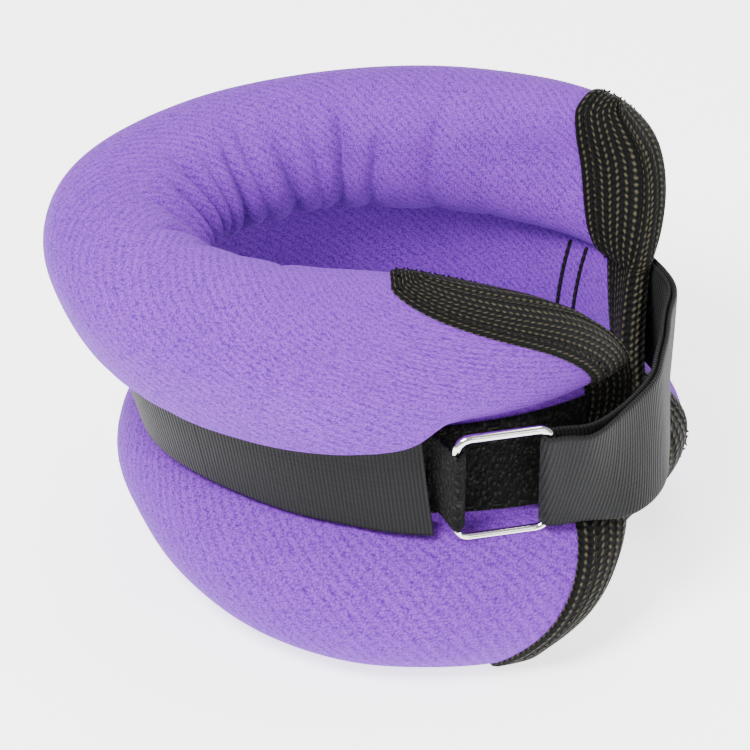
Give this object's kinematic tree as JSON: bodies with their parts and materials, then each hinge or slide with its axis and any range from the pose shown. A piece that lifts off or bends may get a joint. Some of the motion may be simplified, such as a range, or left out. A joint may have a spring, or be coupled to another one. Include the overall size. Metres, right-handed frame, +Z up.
{
  "type": "ankle cuff weight",
  "caption": "Soft ankle cuff weight: two filled neoprene lobes round the ankle, held by a webbing strap doubled back through a wire ring onto a loop-pile strip.",
  "frame": {"origin": "middle of the cuff's bounding box, at the surface the lower lobe stands on", "axes": "+Z up the leg, along the ankle opening's axis; +X towards the gap between the sleeve's two ends; the ring and the strap's tail are on the -Y side"},
  "size_m": [0.182, 0.1675, 0.1092],
  "materials": {
    "neoprene": "knit-faced neoprene, matt",
    "liner_cloth": "plain woven cotton liner",
    "iron_sand": "loose iron sand, stood in for by a solid",
    "loop_pile": "fuzzy nylon loop pile",
    "hook_tape": "nylon hook tape",
    "binding_tape": "ribbed polyester binding tape",
    "webbing": "woven polypropylene webbing",
    "chrome_wire": "bright plated wire",
    "thread": "bonded polyester thread"
  },
  "bodies": {
    "rear_half": {"cover_rear": "neoprene", "liner_upper_rear": "liner_cloth", "liner_lower_rear": "liner_cloth", "fill_upper_rear": "iron_sand", "fill_lower_rear": "iron_sand", "pile_strip_rear": "loop_pile", "pile_stitching_rear": "thread", "end_binding_rear": "binding_tape", "binding_stitching_rear": "thread", "strap_root": "webbing", "strap_root_stitching": "thread", "strap_back_run": "webbing"},
    "front_half": {"cover_front": "neoprene", "liner_upper_front": "liner_cloth", "liner_lower_front": "liner_cloth", "fill_upper_front": "iron_sand", "fill_lower_front": "iron_sand", "pile_strip_front": "loop_pile", "pile_stitching_front": "thread", "end_binding_front": "binding_tape", "binding_stitching_front": "thread", "hook_tape_front": "hook_tape", "ring_tab": "loop_pile", "ring_tab_stitching": "thread", "strap_front_run": "webbing"},
    "ring_and_fold": {"ring": "chrome_wire", "strap_fold": "webbing", "strap_gap_inner": "webbing", "strap_gap_outer": "webbing"},
    "tail": {"strap_tail": "webbing", "hook_tape_tail": "hook_tape"}
  },
  "joints": [
    {"name": "cuff_opening", "type": "hinge", "parent": "rear_half", "child": "front_half", "pos_m": [-0.0913, 0.00389, 0.054], "axis": [0, 0, -1], "range_deg": [0, 40]},
    {"name": "ring_swing", "type": "hinge", "parent": "front_half", "child": "ring_and_fold", "pos_m": [0.02191, -0.06497, 0.0555], "axis": [0, 0, -1], "range_deg": [0, 20]},
    {"name": "tail_peel", "type": "hinge", "parent": "front_half", "child": "tail", "pos_m": [-0.05003, -0.04086, 0.0555], "axis": [0.1496, 0.0227, -0.9885], "range_deg": [0, 75]}
  ]
}
